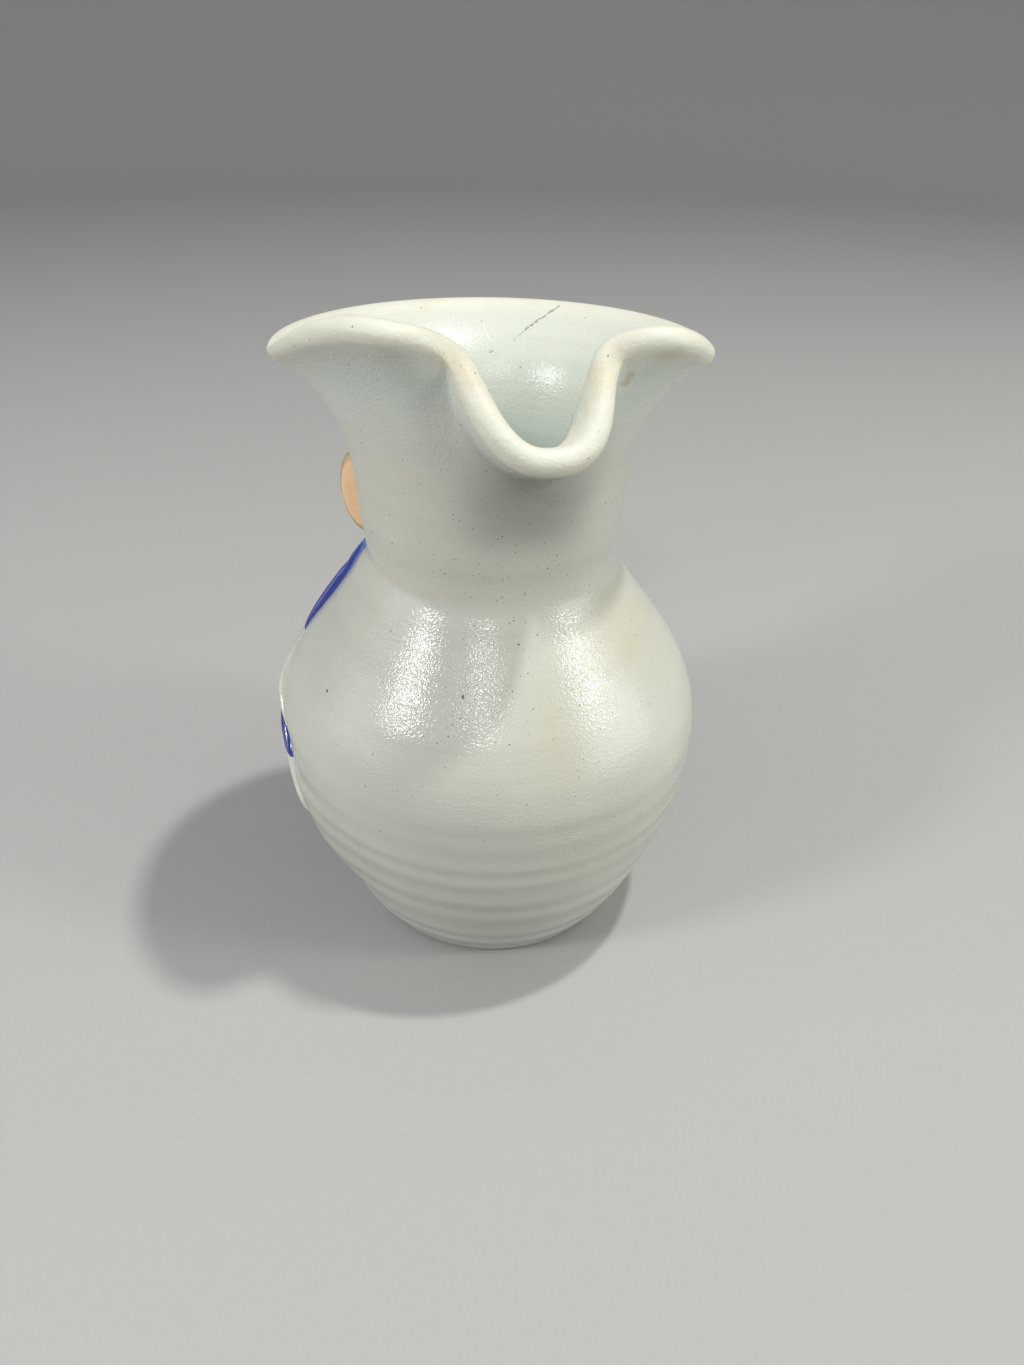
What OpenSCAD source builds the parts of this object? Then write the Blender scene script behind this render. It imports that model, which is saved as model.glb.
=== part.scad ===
// Stoneware pouring jug with a bearded face applied on the side away from the spout.
// Sizes are in millimetres. The base stands on z = 0 at the origin, the spout points
// along -y and the face looks along +y. Left means the -x side.

/* [Body] */
// Radius of the flat base
foot_r = 31.1; // [26:0.1:36]
// Largest radius of the belly
belly_r = 51.2; // [46:0.1:56]
// Height of the largest radius
belly_z = 57; // [50:0.5:62]
// How far the heel runs outward before it climbs
heel_out = 6.3; // [4:0.1:9]
// How far the heel climbs in that run
heel_up = 8; // [5:0.5:11]
// Fullness of the wall below the largest radius
low_full = 25; // [18:0.5:30]
// Fullness of the shoulder above the largest radius
high_full = 20; // [14:0.5:24]
// Thickness of the belly wall
belly_wall = 6; // [4.5:0.1:8]
// Thickness of the floor
floor_t = 7; // [5:0.5:10]
// Width of the slope where the wall meets the floor inside
floor_round = 2.5; // [1.5:0.1:4]

/* [Neck] */
// Outer radius at the crease where the neck starts
neck_r = 29; // [26:0.1:32]
// Height of the crease
neck_z = 101.5; // [98:0.5:105]
// How far the shoulder runs outward just below the crease
crease_out = 4.5; // [3:0.1:7]
// How far the shoulder drops in that run
crease_down = 13.5; // [10:0.5:17]
// Height of the neck, from the crease to the lip's centre line
neck_h = 45.9; // [43:0.1:50]
// Thickness of the neck wall and of the lip at the spout
neck_wall = 5.4; // [4.4:0.1:6.2]
// Swell of the neck just above the crease
neck_swell = 1; // [0:0.1:2]
// Outward lean of the whole neck
neck_lean = 3.9; // [3:0.1:8]

/* [Rim] */
// Outer radius of the lip
rim_r = 46.6; // [43:0.1:50]
// Thickness of the lip's edge away from the spout
rim_t = 2.8; // [2:0.1:4.4]
// How much the rim is out of level
rim_tilt = 1.1; // [0:0.1:3]
// Bearing of the rim's high side, from the spout
rim_high = -30; // [-180:1:180]
// How late the neck flares, larger is later
flare = 5.9; // [5:0.1:8]

/* [Spout] */
// Rise of the lip on the left of the spout
crest = 11.2; // [6:0.1:13]
// How much less the lip rises on the right
crest_less = 1; // [0:0.1:3]
// Bearing where the rise starts on the left
crest_from_left = 98; // [85:1:105]
// Bearing where the rise starts on the right
crest_from_right = 76; // [70:1:90]
// Angle over which the lip climbs
crest_span = 54; // [38:1:60]
// Depth of the spout's dip below the crests
spout_dip = 21.3; // [16:0.1:24]
// Half width of the dip, as an angle
spout_half = 22.6; // [17:0.1:26]
// Squareness of the dip on the left
dip_left = 2.5; // [2:0.1:5]
// Squareness of the dip on the right
dip_right = 2.7; // [2:0.1:5.4]
// How far the lip is pinched in beside the spout
pinch = 9.3; // [5:0.1:11]
// Bearing of the pinch
pinch_at = 25; // [22:1:30]
// Width of the pinch, as an angle
pinch_span = 10; // [8:0.5:18]
// How late the spout flares, larger is later
spout_flare = 3.8; // [3.6:0.1:5.5]

/* [Face] */
// How far below the crease the underside of the nose sits
nose_drop = 0.5; // [0:0.1:2]
// One third of the face: hairline to brow, brow to nose, nose to chin
third = 19; // [18:0.1:20]
// Half width of the face
face_half = 22; // [21:0.1:23]
// How far the face stands out from the crease at the nose
face_out = 10.5; // [9.5:0.1:12]
// How far the nose stands out
nose_out = 8.5; // [6:0.1:10]
// Distance of the ears round the neck from the edge of the face
ear_gap = 7; // [6.5:0.1:9]
// How far the ears stand out
ear_out = 6.3; // [5:0.1:9]
// Height of the ears
ear_h = 20.6; // [18:0.1:23]
// Thickness of the ears
ear_t = 4; // [3:0.1:5]
// Thickness of the mask and the strips at their edges
edge_t = 0.8; // [0.6:0.1:1.2]

/* [Beard] */
// How far below the crease the highest lock starts
fan_drop = 1.2; // [0.7:0.1:2.5]
// Gap between the edge of the face and the roots of the beard
root_gap = 2.2; // [1.6:0.1:3]
// Height of the first lock's tip, the highest
tip_1 = 27.9; // [22:0.1:33]
// Height of the second lock's tip
tip_2 = 17.5; // [13:0.1:21]
// Height of the third lock's tip
tip_3 = 7.9; // [6:0.1:19]
// Height of the fourth lock's tip
tip_4 = 11; // [8:0.1:17]
// Bearing of the highest lock's end from the middle of the face
fan_reach = 66; // [60:0.5:78]
// How much further round the lowest side lock reaches
fan_sweep = 34; // [28:0.5:42]
// Height of the beard's lowest point
fan_foot = 18; // [9:0.5:22]
// Thickness of the white locks
white_t = 3.3; // [2:0.1:4]
// Thickness of the cobalt locks
blue_t = 2.8; // [1.2:0.1:3.4]
// Thickness of the lower cobalt locks at their tips
blue_tip_t = 2; // [0.8:0.1:2.6]
// How far the white locks run on past the tips of the cobalt ones
white_past = 7; // [4:0.5:9]
// Gap between neighbouring locks
lock_gap = 0.5; // [0.3:0.1:1]

/* [Fit] */
// Clearance left between two pieces of clay
slip = 0.15; // [0.12:0.01:0.25]

/* [Hidden] */
$fn = 96;

glaze_white = [0.88, 0.89, 0.86];
glaze_blue = [0.20, 0.30, 0.60];
glaze_skin = [0.93, 0.75, 0.58];
steps = 26;
cols = 96;
rows = 13;
slope_step = belly_z / 38;

// Helpers: a smooth step, a mix and a cubic curve
function sst(t) = let (c = min(1, max(0, t))) c * c * (3 - 2 * c);
function mix(a, b, t) = a * (1 - t) + b * t;
function bez(p, t) = p[0] * pow(1 - t, 3) + p[1] * 3 * t * pow(1 - t, 2)
    + p[2] * 3 * t * t * (1 - t) + p[3] * pow(t, 3);
function bez_dir(p, t) = (p[1] - p[0]) * pow(1 - t, 2) + (p[2] - p[1]) * 2 * t * (1 - t)
    + (p[3] - p[2]) * t * t;
function unit(v) = v / norm(v);
function dome(w, k) = pow(max(0, 1 - w * w), k);

// Turned profile of the belly, outer curve from the foot to the crease
low_curve = [[foot_r, 0], [foot_r + heel_out, heel_up], [belly_r, belly_z - low_full], [belly_r, belly_z]];
high_curve = [[belly_r, belly_z], [belly_r, belly_z + high_full],
    [neck_r + crease_out, neck_z - crease_down], [neck_r, neck_z]];
outer = concat([for (i = [0:steps]) bez(low_curve, i / steps)],
    [for (i = [1:steps]) bez(high_curve, i / steps)]);
function inward(c, t) = let (d = unit(bez_dir(c, t))) bez(c, t) - belly_wall * [d[1], -d[0]];
inner_all = concat([for (i = [0:steps]) inward(low_curve, i / steps)],
    [for (i = [1:steps - 1]) inward(high_curve, i / steps)]);
neck_in = neck_r - neck_wall;
inner = [for (p = inner_all) if (p[1] > floor_t + floor_round * 0.6 && p[1] < neck_z - neck_wall * 0.4) p];
belly_table = [for (p = outer) [p[1], p[0]]];
function belly_at(z) = lookup(z, belly_table);

// Lip line and middle surface of the neck; bearings are degrees from the spout
rim_z = neck_z + neck_h;
lip_r = rim_r - neck_wall / 2;
mid_r = neck_r - neck_wall / 2;
joint_z = neck_z + slip;
function crest_at(b) = let (a = abs(b))
    mix(crest * sst((crest_from_left - a) / crest_span),
        (crest - crest_less) * sst((crest_from_right - a) / crest_span),
        sst((b + spout_half) / spout_half / 2));
function lip_height(b) = rim_z + rim_tilt * cos(b - rim_high) + crest_at(b)
    - spout_dip * exp(-pow(abs(b) / spout_half, b < 0 ? dip_left : dip_right));
function lip_radius(b) = lip_r - pinch * exp(-pow((abs(b) - pinch_at) / pinch_span, 2));
function flare_at(b) = flare - (flare - spout_flare) * exp(-pow(b / pinch_at, 2));
function neck_mid(s, b) = let (
        r = mid_r + neck_swell * sst(s / 0.25) + neck_lean * s * s
            + (lip_radius(b) - mid_r - neck_swell - neck_lean) * pow(abs(s), flare_at(b)),
        z = joint_z + (rim_z - joint_z) * s + (lip_height(b) - rim_z) * pow(s, 3))
    [r * sin(b), -r * cos(b), z];
function neck_up(s, b) = unit(neck_mid(s + 0.002, b) - neck_mid(s - 0.002, b));
function neck_out(s, b) = unit(cross(neck_mid(s, b + 0.1) - neck_mid(s, b - 0.1),
    neck_mid(s + 0.002, b) - neck_mid(s - 0.002, b)));
function flat_out(s, b) = s < 0.01 ? [sin(b), -cos(b), 0] : neck_out(s, b);
function half_wall(s, b) = mix(neck_wall, rim_t,
    sst((s - 0.75) / 0.25) * sst((abs(b) - pinch_at) / pinch_at)) / 2;
function neck_skin(s, b, n) = neck_mid(s, b) + (half_wall(s, b) + n) * flat_out(s, b);
function neck_inside(s, b) = neck_mid(s, b) - half_wall(s, b) * flat_out(s, b);
function neck_loop(b) = concat(
    [for (i = [0:rows]) neck_skin(i / rows, b, 0)],
    [for (a = [30:30:150]) neck_mid(1, b)
        + half_wall(1, b) * cos(a) * neck_out(1, b) + neck_wall / 2 * sin(a) * neck_up(1, b)],
    [for (i = [rows:-1:0]) neck_inside(i / rows, b)]);

// A point n outside the jug's skin, at bearing u from the middle of the face and height z
function climb(z, b, s, k) = k == 0 ? s
    : climb(z, b, s + (z - neck_skin(s, b, 0)[2]) / (rim_z - joint_z), k - 1);
function on_neck(u, z, n) = let (b = 180 - u, s = climb(z, b, (z - joint_z) / (rim_z - joint_z), 3))
    neck_skin(max(0, s), b, n);
function on_belly(u, z, n) = let (
        m = (belly_at(z + slope_step) - belly_at(z - slope_step)) / slope_step / 2,
        l = sqrt(1 + m * m),
        r = belly_at(z) + n / l, h = z - n * m / l)
    [r * sin(u), r * cos(u), h];
function on_jug(u, z, n) = z < neck_z ? on_belly(u, z, n) : on_neck(u, z, n);
function jug_r(z) = let (p = on_jug(0, z, 0)) p[1];

// Layout of the face, in thirds
nose_z = neck_z - nose_drop;
brow_z = nose_z + third;
hair_z = brow_z + third;
eye_z = nose_z + third * 0.763;
mouth_z = nose_z - third / 3;
jaw_z = nose_z - third * 0.58;
wide_z = nose_z + third * 0.58;
mask_top = hair_z - third * 0.08;
eye_w = face_half * 0.4;

// Half width and front of the mask; clay fills the crease behind it
crown_run = hair_z - wide_z + third * 0.026;
jaw_run = third * 1.79;
fill_t = third * 0.116;
fill_run = third * 0.42;
function mask_half(z) = face_half * sqrt(1 - (z > wide_z
    ? pow((z - wide_z) / crown_run, 2.6) : pow((wide_z - z) / jaw_run, 2.2)));
function filled_r(z) = jug_r(z) + fill_t * exp(-pow((z - neck_z) / fill_run, 2));
function soft_max(a, b) = (a + b + norm([a - b, third * 0.06])) / 2;
function mask_mid(z) = let (h = (z - nose_z) / third)
    soft_max(filled_r(z) + edge_t * 2, neck_r + face_out
        + third * (0.0665 * h * h - 0.19 * h - 0.18 * sst((-0.21 - h) / 0.37)));
function mask_y(x, z) = let (r = filled_r(z), q = min(0.999, abs(x) / mask_half(z)))
    sqrt(r * r - x * x) + edge_t + (mask_mid(z) - r - edge_t) * pow(1 - pow(q, 2.2), 0.7);
function on_mask(x, z, n) = [x, mask_y(x, z) + n, z];

// Skin over a list of rings; a chain of rings is capped, a loop of rings is not
module skin(rings, loop = false) {
    n = len(rings);
    m = len(rings[0]);
    last = loop ? n - 1 : n - 2;
    sides = [for (i = [0:last]) for (j = [0:m - 1]) let (
            a = i * m + j, b = ((i + 1) % n) * m + j,
            c = ((i + 1) % n) * m + (j + 1) % m, d = i * m + (j + 1) % m)
        each [[a, b, c], [a, c, d]]];
    caps = loop ? [] : [[for (j = [0:m - 1]) j], [for (j = [m - 1:-1:0]) (n - 1) * m + j]];
    polyhedron(points = [for (r = rings) each r], faces = concat(sides, caps), convexity = 8);
}

// Thrown sections
module thrown_belly() color(glaze_white)
    rotate_extrude() polygon(concat([[0, 0]], outer, [[neck_in, neck_z]],
        [for (i = [len(inner) - 1:-1:0]) inner[i]],
        [[inner[0][0] - floor_round, floor_t], [0, floor_t]]));

module neck_and_spout() color(glaze_white)
    skin([for (i = [0:cols - 1]) neck_loop(-180 + 360 * i / cols)], true);

// Mask and the features that sit on it
function mask_ring(z) = let (x = mask_half(z), r = jug_r(z), u = asin(min(0.98, x / r)))
    concat([for (i = [8:-1:-8]) on_jug(u * i / 8, z, slip)],
        [for (i = [-8:8]) let (w = sin(i * 90 / 8) * x * 0.995) on_mask(w, z, 0)]);
module face_mask() color(glaze_skin)
    skin([for (i = [0:steps]) mask_ring(mix(jaw_z, mask_top, i / steps))]);

nose_w = [[0, 0.082], [0.3, 0.1], [0.6, 0.145], [0.8, 0.205], [0.9, 0.214], [1, 0.136]];
nose_h = [[0, 0.1], [0.3, 0.36], [0.6, 0.72], [0.8, 1], [0.9, 0.92], [1, 0.3]];
function strip_ring(place, half, high) = concat(
    [for (i = [1:-1:-1]) place(i * half, slip)],
    [for (i = [-3:3]) let (w = sin(i * 30))
        place(w * half, slip + edge_t / 2 + (high - edge_t / 2) * dome(w, 0.5))]);
module nose() color(glaze_skin)
    skin([for (t = [1, 0.95, 0.9, 0.8, 0.7, 0.6, 0.45, 0.3, 0.15, 0])
        let (z = nose_z + (1 - t) * third * 0.94)
        strip_ring(function (w, n) on_mask(w, z, n),
            face_half * lookup(t, nose_w), nose_out * lookup(t, nose_h))]);

function almond(c, k, a) = [c + k * eye_w / 2 * cos(a), eye_z + k * eye_w * 0.26 * sin(a)];
function eye_ring(k, n) = [for (a = [0:20:340]) let (p = almond(eye_w, k, a)) on_mask(p[0], p[1], n)];
module eyeball_right() color(glaze_white)
    skin([for (r = [[0.3, 0], [0.7, 0], [1, 0], [1, 0.06], [0.9, 0.14], [0.7, 0.2],
            [0.4, 0.25], [0.15, 0.26]])
        eye_ring(r[0], slip + eye_w * r[1])]);

// A coil or strip on the mask: points of its line, half widths and heights along it
function strip(line, half, high, k) = [for (i = [0:k]) let (t = i / k, p = line(t),
        d = unit(line(t + 0.01) - line(t - 0.01)))
    strip_ring(function (w, n) on_mask(p[0] + d[1] * w, p[1] - d[0] * w, n), half(t), high(t))];
function lid_line(t, up) = let (a = up > 0 ? mix(172, 8, t) : mix(196, 344, t),
        g = slip * 2 + eye_w * (up > 0 ? 0.09 : 0.07))
    [eye_w + (eye_w / 2 + g * 0.7) * cos(a), eye_z + (eye_w * 0.26 + g) * sin(a)];
module upper_lid_right() color(glaze_skin)
    skin(strip(function (t) lid_line(t, 1), function (t) eye_w * (0.085 - 0.028 * abs(2 * t - 1)),
        function (t) eye_w * (0.295 - 0.114 * abs(2 * t - 1)), 10));
module lower_lid_right() color(glaze_skin)
    skin(strip(function (t) lid_line(t, -1), function (t) eye_w * (0.063 - 0.017 * abs(2 * t - 1)),
        function (t) eye_w * (0.193 - 0.08 * abs(2 * t - 1)), 10));
module brow_right() color(glaze_blue)
    skin(strip(function (t) [face_half * mix(0.164, 0.75, t),
            brow_z + third * (0.084 + 0.116 * sin(150 * t) - 0.042 * t)],
        function (t) third * (0.032 + 0.037 * sin(20 + 140 * t)),
        function (t) third * 0.047 * (1 + sin(20 + 140 * t)), 12));
module moustache_right() color(glaze_white)
    skin(strip(function (t) [face_half * mix(0.041, 0.75, t),
            nose_z - third * (0.142 - 0.047 * sin(180 * t) + 0.242 * t * t)],
        function (t) third * (0.026 + 0.074 * sin(15 + 155 * t)),
        function (t) third * (0.053 + 0.09 * sin(20 + 150 * t)), 12));
module upper_lip() color(glaze_skin)
    skin(strip(function (t) [face_half * mix(-0.295, 0.295, t),
            mouth_z + third * (0.04 + 0.026 * sin(180 * t))],
        function (t) third * (0.018 + 0.013 * sin(180 * t)),
        function (t) third * 0.037 * (1 + sin(180 * t)), 12));
module lower_lip() color(glaze_skin)
    skin(strip(function (t) [face_half * mix(-0.255, 0.255, t),
            mouth_z - third * (0.053 + 0.026 * sin(180 * t))],
        function (t) third * (0.021 + 0.026 * sin(180 * t)),
        function (t) third * (0.042 + 0.047 * sin(180 * t)), 12));

// Ear: a cupped plate that stands out from the neck. Each slice has its size, its place in
// the thickness and how far its root is lifted off the neck, as shares
ear_mid = joint_z + ear_h / 2;
function round_by(w, z) = w / jug_r(z) * 180 / PI;
ear_at = asin(mask_half(ear_mid) / jug_r(ear_mid)) + round_by(ear_gap, ear_mid);
ear_slices = [[0.3, -0.05, 0.3], [0.55, -0.1, 0.18], [0.8, -0.5, 0], [0.92, -0.45, 0],
    [1, 0, 0], [0.94, 0.4, 0], [0.8, 0.5, 0]];
function ear_ring(k, e, lift) = [for (i = [0:19]) let (
        a = mix(-90, 90, min(1, i / 9)), back = max(0, i - 9) / 11,
        z = ear_mid + k * ear_h / 2 * (i < 10 ? sin(a) * (1 - 0.08 * cos(a)) : 1 - 2 * back),
        high = ear_out * (0.5 + 0.5 * k), root = ear_out * lift,
        n = slip + root + (i < 10 ? (high - root) * pow(cos(a), 0.5) * (1 + 0.06 * sin(a)) : 0))
    on_neck(ear_at + round_by(e, ear_mid), z, n)];
module ear_right() color(glaze_skin)
    skin([for (r = ear_slices) ear_ring(r[0], ear_t * r[1], r[2])]);

// Hair falls over the forehead from a middle parting, and strips run down beside the ears
hair_curve = [[face_half * 0.032, mask_top - third * 0.158], [face_half * 0.455, mask_top - third * 0.126],
    [face_half * 0.818, brow_z + third * 0.579], [face_half * 0.855, brow_z + third * 0.079]];
module hair_right() color(glaze_white)
    skin(strip(function (t) bez(hair_curve, t), function (t) third * (0.068 + 0.063 * sin(10 + 150 * t)),
        function (t) third * 0.063 * (1 + sin(10 + 150 * t)), 14));
function neck_strip(line, half, high, k) = [for (i = [0:k]) let (t = i / k, p = line(t),
        d = line(t + 0.01) - line(t - 0.01), g = unit([d[0] / round_by(1, p[1]), d[1]]))
    strip_ring(function (w, n) on_neck(p[0] + g[1] * round_by(w, p[1]), p[1] - g[0] * w, n),
        half(t), high(t))];
function burn_line(t) = let (z = mix(brow_z - third * 0.079, neck_z + third * 0.105, t))
    [mix(asin(mask_half(z) / jug_r(z)), ear_at - round_by(ear_t, z) * 0.6, 0.52), z];
module sideburn_right() color(glaze_blue)
    skin(neck_strip(function (t) burn_line(t), function (t) third * (0.042 + 0.058 * sin(10 + 150 * t)),
        function (t) third * 0.047 * (1 + sin(20 + 140 * t)), 10));

// Beard: boundaries fan out from the jaw, and each lock fills the space between two of them.
// The lists run from the highest boundary to the middle: shares of the jaw's height and turn at
// the roots, of the sweep at the side tips, and of the turn and the last drop at the low tips
root_down = [0, 0.44, 0.83, 1, 1, 1, 1, 1, 1, 1];
root_turn = [1, 1, 1, 1, 0.855, 0.71, 0.565, 0.42, 0.265, 0.09];
side_turn = [0, 0.115, 0.676, 0.794, 1];
foot_turn = [0.9, 0.685, 0.47, 0.275, 0.09];
foot_down = [0.45, 0.7, 0.87, 0.97, 1];
fan_top = neck_z - fan_drop;
side_z = [fan_top, fan_top - tip_1, fan_top - tip_1 - tip_2, fan_top - tip_1 - tip_2 - tip_3,
    fan_top - tip_1 - tip_2 - tip_3 - tip_4];
chin_z = jaw_z - root_gap / 2;
function jaw_turn(z) = let (r = belly_at(z)) asin(min(0.95, mask_half(z) / r)) + root_gap / r * 180 / PI;
function root(k) = let (z = mix(fan_top, chin_z, root_down[k])) [jaw_turn(z) * root_turn[k], z];
function tip(k) = k < 5 ? [fan_reach + fan_sweep * side_turn[k], side_z[k]]
    : [(fan_reach + fan_sweep) * foot_turn[k - 5], mix(side_z[4], fan_foot, foot_down[k - 5])];
function flip(p) = [-p[0], p[1]];
function edge(k, t) = k < 10 ? mix(root(k), tip(k), t) : flip(edge(9, t));
function across(a, b) = norm([(a[0] - b[0]) * belly_at(mix(a[1], b[1], 0.5)) * PI / 180, a[1] - b[1]]);
function lock_long(k) = across(mix(edge(k, 0), edge(k + 1, 0), 0.5), mix(edge(k, 1), edge(k + 1, 1), 0.5));
function lock_ring(k, q, run, high, tip_high) = let (
        a = edge(k, q * run), b = edge(k + 1, q * run),
        end = sqrt(max(0.1, 1 - pow(max(0, (q - 0.86) / 0.14), 2))),
        full = (1 - lock_gap / across(a, b)) * end,
        h = max(edge_t, (0.5 + 0.5 * sst(q * 1.1)) * (0.45 + 0.55 * end)
            * mix(high, tip_high, sst(q * 1.6 - 0.5))))
    concat([for (i = [-3:3]) let (p = mix(a, b, 0.5 + i / 6 * full)) on_belly(p[0], p[1], slip)],
        [for (i = [3:-1:-3]) let (w = sin(i * 30), p = mix(a, b, 0.5 + w / 2 * full))
            on_belly(p[0], p[1], slip + edge_t + (h - edge_t) * dome(w, 0.6))]);
module lock(k, white) color(white ? glaze_white : glaze_blue)
    skin([for (i = [0:16]) lock_ring(k, i < 14 ? 0.88 * i / 13 : 0.88 + 0.04 * (i - 13),
        white ? 1 + white_past / lock_long(k) : 1,
        white ? white_t : blue_t, white ? white_t : k == 0 ? blue_t : blue_tip_t)]);

module beard_right_1() lock(0, false);
module beard_right_2() lock(1, true);
module beard_right_3() lock(2, false);
module beard_right_4() lock(3, true);
module beard_right_5() lock(4, false);
module beard_right_6() lock(5, true);
module beard_right_7() lock(6, false);
module beard_right_8() lock(7, true);
module beard_right_9() lock(8, false);
module beard_centre() lock(9, true);

// Left-hand pieces mirror the right-hand ones
module eyeball_left() mirror([1, 0, 0]) eyeball_right();
module upper_lid_left() mirror([1, 0, 0]) upper_lid_right();
module lower_lid_left() mirror([1, 0, 0]) lower_lid_right();
module brow_left() mirror([1, 0, 0]) brow_right();
module ear_left() mirror([1, 0, 0]) ear_right();
module moustache_left() mirror([1, 0, 0]) moustache_right();
module hair_left() mirror([1, 0, 0]) hair_right();
module sideburn_left() mirror([1, 0, 0]) sideburn_right();
module beard_left_1() mirror([1, 0, 0]) beard_right_1();
module beard_left_2() mirror([1, 0, 0]) beard_right_2();
module beard_left_3() mirror([1, 0, 0]) beard_right_3();
module beard_left_4() mirror([1, 0, 0]) beard_right_4();
module beard_left_5() mirror([1, 0, 0]) beard_right_5();
module beard_left_6() mirror([1, 0, 0]) beard_right_6();
module beard_left_7() mirror([1, 0, 0]) beard_right_7();
module beard_left_8() mirror([1, 0, 0]) beard_right_8();
module beard_left_9() mirror([1, 0, 0]) beard_right_9();

thrown_belly();
neck_and_spout();
face_mask();
nose();
eyeball_left();
eyeball_right();
upper_lid_left();
upper_lid_right();
lower_lid_left();
lower_lid_right();
brow_left();
brow_right();
ear_left();
ear_right();
upper_lip();
lower_lip();
moustache_left();
moustache_right();
hair_left();
hair_right();
sideburn_left();
sideburn_right();
beard_left_1();
beard_left_2();
beard_left_3();
beard_left_4();
beard_left_5();
beard_left_6();
beard_left_7();
beard_left_8();
beard_left_9();
beard_right_1();
beard_right_2();
beard_right_3();
beard_right_4();
beard_right_5();
beard_right_6();
beard_right_7();
beard_right_8();
beard_right_9();
beard_centre();
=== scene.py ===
# Face jug in glazed stoneware: a wheel-thrown jug with a pulled spout, and a bearded face
# applied on the side away from the spout. Sizes are in millimetres until a mesh is made.
import math

import bpy
import numpy as np
from mathutils import Matrix, Vector


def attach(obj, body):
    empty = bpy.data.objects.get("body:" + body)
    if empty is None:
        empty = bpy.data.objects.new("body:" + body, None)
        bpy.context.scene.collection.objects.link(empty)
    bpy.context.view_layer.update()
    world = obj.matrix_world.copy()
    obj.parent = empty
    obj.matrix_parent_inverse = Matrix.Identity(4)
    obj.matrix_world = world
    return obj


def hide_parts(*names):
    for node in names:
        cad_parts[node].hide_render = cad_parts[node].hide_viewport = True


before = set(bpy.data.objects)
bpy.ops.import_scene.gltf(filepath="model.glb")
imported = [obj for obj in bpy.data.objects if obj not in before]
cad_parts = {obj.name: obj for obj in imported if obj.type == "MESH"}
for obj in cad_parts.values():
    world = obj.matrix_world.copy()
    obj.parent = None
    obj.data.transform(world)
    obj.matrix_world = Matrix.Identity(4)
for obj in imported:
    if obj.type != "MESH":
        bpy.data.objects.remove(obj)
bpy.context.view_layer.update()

MM = 0.001
# Degrees in a radian, rounded as in the part's source
PER_RADIAN = 57.3
RIGHT, LEFT = 1, -1

# Thrown body
FOOT_R, BELLY_R, BELLY_Z = 31.1, 51.2, 57.0
NECK_R, NECK_Z = 29.0, 101.5
BELLY_WALL, FLOOR_T = 6.0, 7.0
LOW_CURVE = [(FOOT_R, 0), (FOOT_R + 6.3, 8), (BELLY_R, 32), (BELLY_R, BELLY_Z)]
HIGH_CURVE = [(BELLY_R, BELLY_Z), (BELLY_R, 77), (33.5, 88), (NECK_R, NECK_Z)]

# Neck, rim and spout; bearings are degrees from the spout
NECK_WALL, RIM_T = 5.4, 2.8
THIN_S, THIN_FROM, THIN_SPAN = 0.75, 50.0, 38.0
SWELL, LEAN, FLARE, SPOUT_FLARE = 1.0, 3.9, 5.9, 3.8
JOINT_Z = NECK_Z + 0.15
RIM_Z, TILT, HIGH_SIDE = 147.4, 1.1, -30.0
CREST, CREST_LESS, CREST_SPAN = 11.2, 1.0, 54.0
CREST_FROM_LEFT, CREST_FROM_RIGHT = 98.0, 76.0
DIP, DIP_HALF, DIP_LEFT, DIP_RIGHT = 21.3, 22.6, 2.5, 2.7
LIP_R, PINCH, PINCH_AT, PINCH_SPAN = 43.9, 9.3, 25.0, 10.0
MID_R = NECK_R - NECK_WALL / 2

# Face, in thirds
THIRD, FACE_HALF, FACE_OUT, NOSE_OUT = 19.0, 22.0, 10.5, 8.5
NOSE_Z = NECK_Z - 0.5
BROW_Z = NOSE_Z + THIRD
HAIR_Z = BROW_Z + THIRD
EYE_Z = NOSE_Z + THIRD * 0.763
MOUTH_Z = NOSE_Z - THIRD / 3
JAW_Z = NOSE_Z - THIRD * 0.58
WIDE_Z = NOSE_Z + THIRD * 0.58
MASK_TOP = HAIR_Z - THIRD * 0.08
EYE_W = FACE_HALF * 0.4
EDGE_T = 0.8
EAR_GAP, EAR_OUT, EAR_T, EAR_H = 7.0, 6.3, 4.0, 20.6
EAR_MID = JOINT_Z + EAR_H / 2

# Beard
WHITE_T, BLUE_T, LOCK_GAP, ROOT_GAP, WHITE_PAST = 3.3, 2.8, 0.5, 2.2, 7.0
FAN_TOP, FAN_FOOT, FAN_REACH, FAN_SWEEP = NECK_Z - 1.2, 18.0, 66.0, 34.0
SIDE_TIPS = (0, 27.9, 45.4, 53.3, 64.3)
CHIN_Z = JAW_Z - ROOT_GAP / 2

# How far the applied clay is pressed into what carries it
PRESS = 0.5

# Small steps over which slopes are taken: share of the neck's height, degrees, millimetres
RISE_STEP, TURN_STEP, SLOPE_STEP = 0.002, 0.1, 1.5


# Small helpers for numbers and curves
def smooth(t):
    t = np.clip(t, 0, 1)
    return t * t * (3 - 2 * t)


def mix(a, b, t):
    return a + (b - a) * t


def dsin(a):
    return np.sin(np.radians(a))


def dcos(a):
    return np.cos(np.radians(a))


def cubic(points, t):
    a, b, c, d = [np.array(p, float) for p in points]
    t = np.asarray(t, float)[..., None]
    return a * (1 - t) ** 3 + b * 3 * t * (1 - t) ** 2 + c * 3 * t * t * (1 - t) + d * t ** 3


def unit(v):
    return v / np.linalg.norm(v, axis=-1, keepdims=True)


def bell(x, middle, width):
    return np.exp(-((x - middle) / width) ** 2)


def wave(x, seed):
    # A slow hand-made wander, between -1.25 and 1.25
    slow = np.sin(x + seed * 2.1)
    middle = 0.6 * np.sin(x * 2.3 + seed * 4.7)
    quick = 0.4 * np.sin(x * 4.1 + seed)
    return (slow + middle + quick) / 1.6


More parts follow.
